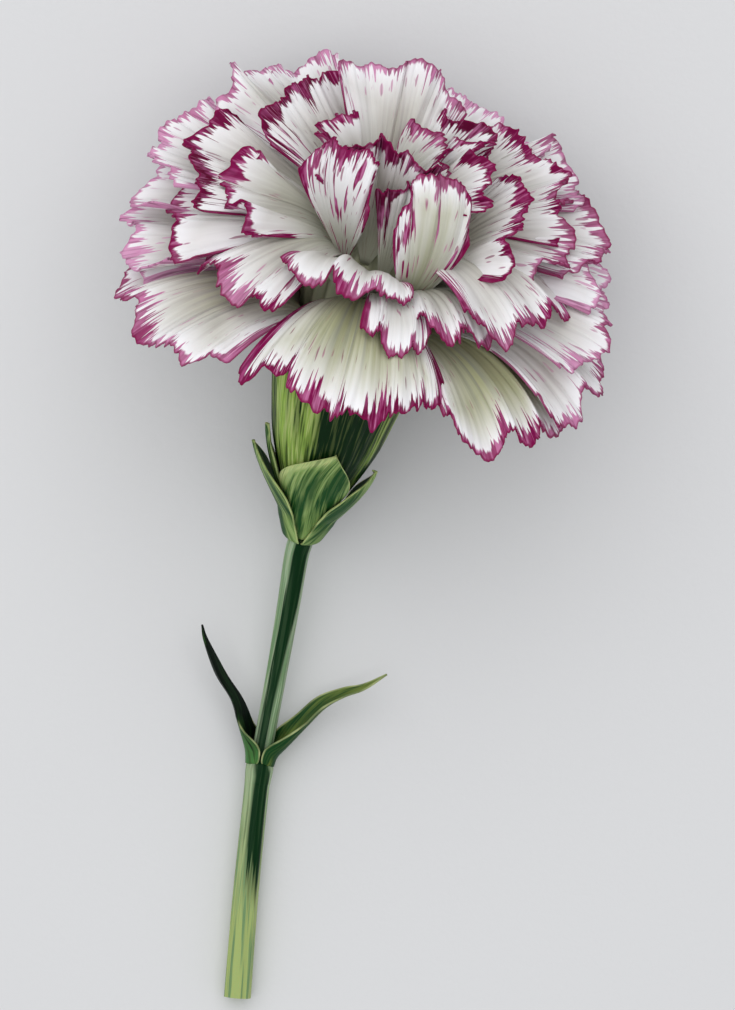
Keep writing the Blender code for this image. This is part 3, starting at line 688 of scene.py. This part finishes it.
class CARNATION_OT_stage(bpy.types.Operator):
    """Make the camera, the pale table and the soft light"""
    bl_idname = "carnation.stage"
    bl_label = "Stage"

    def execute(self, context):
        settings = context.scene.carnation_stage
        scene = context.scene
        lean = math.radians(LEAN)
        across = (PICTURE[0] / 2 - CUT_END_AT[0]) * PIXEL
        up = (CUT_END_AT[1] - PICTURE[1] / 2) * PIXEL
        centre = np.array([across * math.cos(lean) - up * math.sin(lean),
                           across * math.sin(lean) + up * math.cos(lean), FOCUS_HEIGHT])
        distance = PICTURE[1] * PIXEL * settings.lens / SENSOR
        camera = bpy.data.objects.new("camera", bpy.data.cameras.new("camera"))
        scene.collection.objects.link(camera)
        camera.data.lens = settings.lens
        camera.data.sensor_width = SENSOR
        camera.data.clip_start, camera.data.clip_end = 0.01, 10.0
        camera.location = to_row(centre + np.array([0.0, 0.0, distance]))
        camera.rotation_euler = (0.0, 0.0, lean)
        scene.camera = camera

        # Paper board: an even, dry white with a faint grain and no highlight.
        mat, tree, shader = new_material("matt paper board, white", 0.9, 0.2)
        place = add(tree, "ShaderNodeTexCoord", out="Object")
        grain = add(tree, "ShaderNodeTexNoise", {"Vector": place, "Scale": 700.0, "Detail": 2.0}, "Fac")
        bump = add(tree, "ShaderNodeBump", {"Height": grain, "Distance": 0.0002, "Strength": 0.25})
        shader.inputs["Base Color"].default_value = linear(settings.floor)
        tree.links.new(bump, shader.inputs["Normal"])
        bpy.ops.mesh.primitive_plane_add(size=TABLE_SIDE, location=(0.0, 0.0, 0.0))
        floor = context.object
        floor.name = "floor"
        floor.data.materials.append(mat)

        world = bpy.data.worlds.new("studio")
        scene.world = world
        world.use_nodes = True
        world.node_tree.nodes["Background"].inputs["Color"].default_value = linear(ROOM_COLOUR)
        world.node_tree.nodes["Background"].inputs["Strength"].default_value = settings.fill
        window = bpy.data.objects.new("window", bpy.data.lights.new("window", "AREA"))
        scene.collection.objects.link(window)
        window.data.energy = settings.key
        window.data.size = WINDOW_SIDE
        window.location = WINDOW_AT
        window.rotation_euler = (-window.location).to_track_quat("-Z", "Y").to_euler()
        scene.view_settings.view_transform = "Standard"
        return {"FINISHED"}


class CARNATION_OT_bloom(bpy.types.Operator):
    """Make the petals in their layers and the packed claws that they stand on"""
    bl_idname = "carnation.bloom"
    bl_label = "Bloom"

    def execute(self, context):
        settings = context.scene.carnation_bloom
        mat = petal_material(settings)
        u, v = np.meshgrid(np.linspace(-1, 1, settings.across + 1),
                           1 - (1 - np.linspace(0, 1, settings.along + 1)) ** 1.6, indexing="ij")
        seed = BLOOM_SEED
        for layer, shared in LAYERS.items():
            surface = Surface()
            for row in shared["rows"]:
                form = {key: shared[key] for key in shared if key != "rows"}
                form.update(row[3] if len(row) > 3 else {})
                tone, cream, flare = form.pop("tone", 0.6), form.pop("cream", 0.55), form.pop("flare", 0.0)
                points, edge, ray, chord = petal_points(*row[:3], seed, u, v, settings.tooth_depth / MM,
                                                        **form)
                surface.grid(points, dict(edge=edge, ray=ray + seed * 3.7, run=v * chord, tone=tone,
                                          cream=cream, flare=flare))
                seed += SEED_STEP
            blades = surface.to_object("petals_" + layer, mat, settings.petal_thickness)
            finish_piece(blades, "bloom")

        rows = smooth_rows(CORE, CLAW_CELLS[1])
        around = np.linspace(0, 2 * math.pi, CLAW_CELLS[0], endpoint=False)
        s = np.concatenate([rows[:1, 0], rows[:, 0], rows[-1:, 0]])
        r = np.concatenate([[0.0], rows[:, 1], [0.0]])
        s, turn = np.meshgrid(s, around, indexing="ij")
        r = r[:, None] * (1 + 0.05 * np.cos(22 * turn))
        points = np.where((s < 0)[..., None], ring_points(s, r, turn),
                          ring_points(s, r, turn, BLOOM_YAW, BLOOM_TILT))
        claws = Surface()
        claws.grid(points, dict(edge=20.0, ray=turn * 9.0, run=8.0, tone=0.5, cream=0.9, flare=0.0),
                   closed=True)
        finish_piece(claws.to_object("petal_claws", mat, weld=True), "bloom")
        return {"FINISHED"}


class CARNATION_OT_calyx(bpy.types.Operator):
    """Make the ribbed calyx cup with its five pointed lobes"""
    bl_idname = "carnation.calyx"
    bl_label = "Calyx"

    def execute(self, context):
        settings = context.scene.carnation_greens
        mat = green_material("calyx skin, ribbed satin green", settings.calyx_light, settings.calyx_mottle_and_shade,
                             "#B9C97C", 0.42, (1.6, 0.05), 0.3)
        around = np.linspace(-math.pi, math.pi, CALYX_CELLS[0], endpoint=False)
        v, turn = np.meshgrid(np.linspace(0, 1, CALYX_CELLS[1] + 1), around, indexing="ij")
        bottom, top = CALYX[0][0], CALYX[-1][0]
        s = bottom + (top - bottom) * np.clip((v - FOOT_TO) / (LOBES_FROM - FOOT_TO), 0, 1)
        foot = np.clip(v / FOOT_TO, 0, 1)
        lobe = np.clip((v - LOBES_FROM) / (1 - LOBES_FROM), 0, 1)
        crest = 1 - np.abs(((turn - math.radians(LOBE_TURN)) * CALYX_LOBES / math.tau + 0.5) % 1 - 0.5) * 2
        crest = np.sin(crest * math.pi / 2) ** 1.2
        rib = 0.5 + 0.5 * np.cos(settings.rib_count * turn)
        r = calyx_radius(s) * foot + RIB_HEIGHT * (rib - 0.5) * foot * np.clip((v - 0.1) / 0.2, 0, 1)
        s = s + lobe * (LOBE_LENGTH * crest - 0.5)
        r = r + lobe ** 1.4 * LOBE_FLARE * crest
        # Painted light and shade, as if the light came from the left: pale on the left of the front,
        # darkest right of it, and of middle depth on the flanks.
        degrees = np.degrees(turn)
        shade = 1.5 * np.clip((degrees + 20) / 22, 0, 1) * (1 - 0.5 * np.clip((degrees - 28) / 26, 0, 1))
        shade = shade - 0.15 + 0.6 * np.clip((-52 - degrees) / 20, 0, 1)
        surface = Surface()
        surface.grid(ring_points(s, r, turn),
                     dict(along=s, around=turn * 9.0, edge=(1 - v) * 22, shade=shade), closed=True)
        cup = surface.to_object("calyx_cup", mat, settings.calyx_wall, -1.0, weld=True)
        finish_piece(cup, "calyx")
        return {"FINISHED"}


class CARNATION_OT_bracts(bpy.types.Operator):
    """Make the four pointed bracts that clasp the foot of the calyx"""
    bl_idname = "carnation.bracts"
    bl_label = "Bracts"

    def execute(self, context):
        settings = context.scene.carnation_greens
        mat = green_material("bract skin, satin green with a thin pale margin", settings.bract_light,
                             settings.bract_mottle_and_shade, "#9DB572", 0.45, (1.5, 0.06), 0.16, mottle=1.15)
        for name, form in BRACTS.items():
            surface = Surface()
            surface.grid(*bract_blade(form))
            finish_piece(surface.to_object(name + "_scale", mat, settings.blade_thickness), name)
        return {"FINISHED"}


class CARNATION_OT_leaves(bpy.types.Operator):
    """Make the two channelled leaves whose feet clasp the stem at its node"""
    bl_idname = "carnation.leaves"
    bl_label = "Leaves"

    def execute(self, context):
        settings = context.scene.carnation_greens
        for name, form in LEAVES.items():
            tint, *colours = LEAF_COLOURS[name]
            mat = green_material("leaf skin, " + tint + " satin green", *colours, 0.4, (1.6, 0.04), 0.2,
                                 "#A9B47C")
            surface = Surface()
            surface.grid(*leaf_blade(*form))
            finish_piece(surface.to_object(name + "_blade", mat, settings.blade_thickness), name)
        return {"FINISHED"}


class CARNATION_OT_stem(bpy.types.Operator):
    """Make the stem along its path, with its leaf node and its cut end"""
    bl_idname = "carnation.stem"
    bl_label = "Stem"

    def execute(self, context):
        mat = green_material("stem skin, waxy green", *STEM_COLOURS, 0.4, (1.3, 0.03), mottle=0.7,
                             cut_end=CUT_END_COLOUR)
        curve = bpy.data.curves.new("stem_skin", "CURVE")
        curve.dimensions = "3D"
        rows = smooth_rows(STEM, STEM_CELLS)
        spline = curve.splines.new("POLY")
        spline.points.add(len(rows) - 1)
        for point, row, co in zip(spline.points, rows, to_row(rows[:, :3])):
            point.co = (*co, 1.0)
            point.radius = row[3]
        obj = bpy.data.objects.new("stem_skin", curve)
        context.scene.collection.objects.link(obj)
        tree = self.skin_tree(mat)
        nodes = obj.modifiers.new("skin", "NODES")
        nodes.node_group = tree
        for socket in tree.interface.items_tree:
            if socket.name == "Stripe":
                nodes[socket.identifier] = math.radians(SHADE_STRIPE_AT)
        graph = context.evaluated_depsgraph_get()
        mesh = bpy.data.meshes.new_from_object(obj.evaluated_get(graph))
        bpy.data.objects.remove(obj)
        skin = bpy.data.objects.new("stem_skin", mesh)
        context.scene.collection.objects.link(skin)
        mesh.shade_smooth()
        finish_piece(skin, "stem")
        return {"FINISHED"}

    def skin_tree(self, mat):
        """A ribbed skin swept along a path, as thick as the path's radius says, that stores
        where a band of painted shade lies: it swings round between the leaves and the calyx."""
        tree = bpy.data.node_groups.new("stem skin", "GeometryNodeTree")
        tree.interface.new_socket("Geometry", in_out="INPUT", socket_type="NodeSocketGeometry")
        for name, kind, value in (("Sides", "NodeSocketInt", 72), ("Ribs", "NodeSocketFloat", 9.0),
                                  ("Rib height", "NodeSocketFloat", 0.03), ("Stripe", "NodeSocketFloat", 0.0),
                                  ("Swing", "NodeSocketFloat", 0.6)):
            tree.interface.new_socket(name, in_out="INPUT", socket_type=kind).default_value = value
        tree.interface.new_socket("Geometry", in_out="OUTPUT", socket_type="NodeSocketGeometry")
        given = add(tree, "NodeGroupInput", out=None)
        place = add(tree, "GeometryNodeSplineParameter", out=None)
        store = "GeometryNodeStoreNamedAttribute"
        points = dict(data_type="FLOAT", domain="POINT")
        length = add(tree, MATH, (place["Length"], MM), operation="DIVIDE")
        path = add(tree, store, {"Geometry": given["Geometry"], "Name": "along", "Value": length}, **points)
        circle = add(tree, "GeometryNodeCurvePrimitiveCircle", {"Resolution": given["Sides"], "Radius": MM})
        width = add(tree, MATH, (place["Factor"], STEM_GIRTH), operation="MULTIPLY")
        circle = add(tree, store, {"Geometry": circle, "Name": "around", "Value": width}, **points)
        turn = add(tree, MATH, (place["Factor"], math.tau), operation="MULTIPLY")
        ripple = add(tree, MATH, (turn, given["Ribs"]), operation="MULTIPLY")
        ripple = add(tree, MATH, (ripple,), operation="COSINE")
        ripple = add(tree, MATH, (ripple, given["Rib height"], 1.0), operation="MULTIPLY_ADD")
        where = add(tree, "GeometryNodeInputPosition")
        ribbed = add(tree, "ShaderNodeVectorMath", {0: where, "Scale": ripple}, operation="SCALE")
        circle = add(tree, "GeometryNodeSetPosition", {"Geometry": circle, "Position": ribbed})
        radius = add(tree, "GeometryNodeInputRadius")
        skin = add(tree, "GeometryNodeCurveToMesh",
                   {"Curve": path, "Profile Curve": circle, "Scale": radius, "Fill Caps": True})
        along, around = (add(tree, "GeometryNodeInputNamedAttribute", {"Name": name}, "Attribute",
                             data_type="FLOAT") for name in ("along", "around"))
        # Painted shade: a dark band down one side of the stem, where that side would lie in shade.
        swing = product(tree, (along, 70.0, 46.0), (along, 36.0, 41.0))
        turn = add(tree, MATH, (around, math.tau / STEM_GIRTH), operation="MULTIPLY")
        turn = add(tree, MATH, (turn, given["Stripe"]), operation="SUBTRACT")
        turn = add(tree, MATH, (swing, given["Swing"], turn), operation="MULTIPLY_ADD")
        shade_stripe = add(tree, MATH, (turn,), operation="COSINE")
        shade_stripe = add(tree, MATH, (swing, -0.12, shade_stripe), operation="MULTIPLY_ADD")
        shade_stripe = add(tree, RANGE, (shade_stripe, 0.60, 0.88, -0.5, 1.1))
        skin = add(tree, store, {"Geometry": skin, "Name": "shade", "Value": shade_stripe}, **points)
        skin = add(tree, "GeometryNodeRealizeInstances", {"Geometry": skin})
        skin = add(tree, "GeometryNodeSetMaterial", {"Geometry": skin, "Material": mat})
        add(tree, "NodeGroupOutput", {"Geometry": skin}, None)
        return tree


class CARNATION_PT_panel(bpy.types.Panel):
    """Buttons that make the carnation piece by piece"""
    bl_idname = "CARNATION_PT_panel"
    bl_label = "Cut carnation"
    bl_space_type = "VIEW_3D"
    bl_region_type = "UI"
    bl_category = "Carnation"

    def draw(self, context):
        for group, operators in (("carnation_bloom", ("bloom",)),
                                 ("carnation_greens", ("calyx", "bracts", "leaves", "stem")),
                                 ("carnation_stage", ("stage",))):
            box = self.layout.box()
            settings = getattr(context.scene, group)
            for name in settings.bl_rna.properties.keys():
                if name not in ("rna_type", "name"):
                    box.prop(settings, name)
            for name in operators:
                box.operator("carnation." + name)


GROUPS = {"carnation_bloom": BloomSettings, "carnation_greens": GreenSettings,
          "carnation_stage": StageSettings}
CLASSES = (*GROUPS.values(), CARNATION_OT_stage, CARNATION_OT_bloom, CARNATION_OT_calyx, CARNATION_OT_bracts,
           CARNATION_OT_leaves, CARNATION_OT_stem, CARNATION_PT_panel)


def register():
    for cls in CLASSES:
        bpy.utils.register_class(cls)
    for name, group in GROUPS.items():
        setattr(bpy.types.Scene, name, PointerProperty(type=group))


def unregister():
    for name in GROUPS:
        delattr(bpy.types.Scene, name)
    for cls in reversed(CLASSES):
        bpy.utils.unregister_class(cls)


def main():
    register()
    bpy.ops.carnation.stage()
    bpy.ops.carnation.bloom()
    bpy.ops.carnation.calyx()
    bpy.ops.carnation.bracts()
    bpy.ops.carnation.leaves()
    bpy.ops.carnation.stem()


if __name__ == "__main__":
    main()
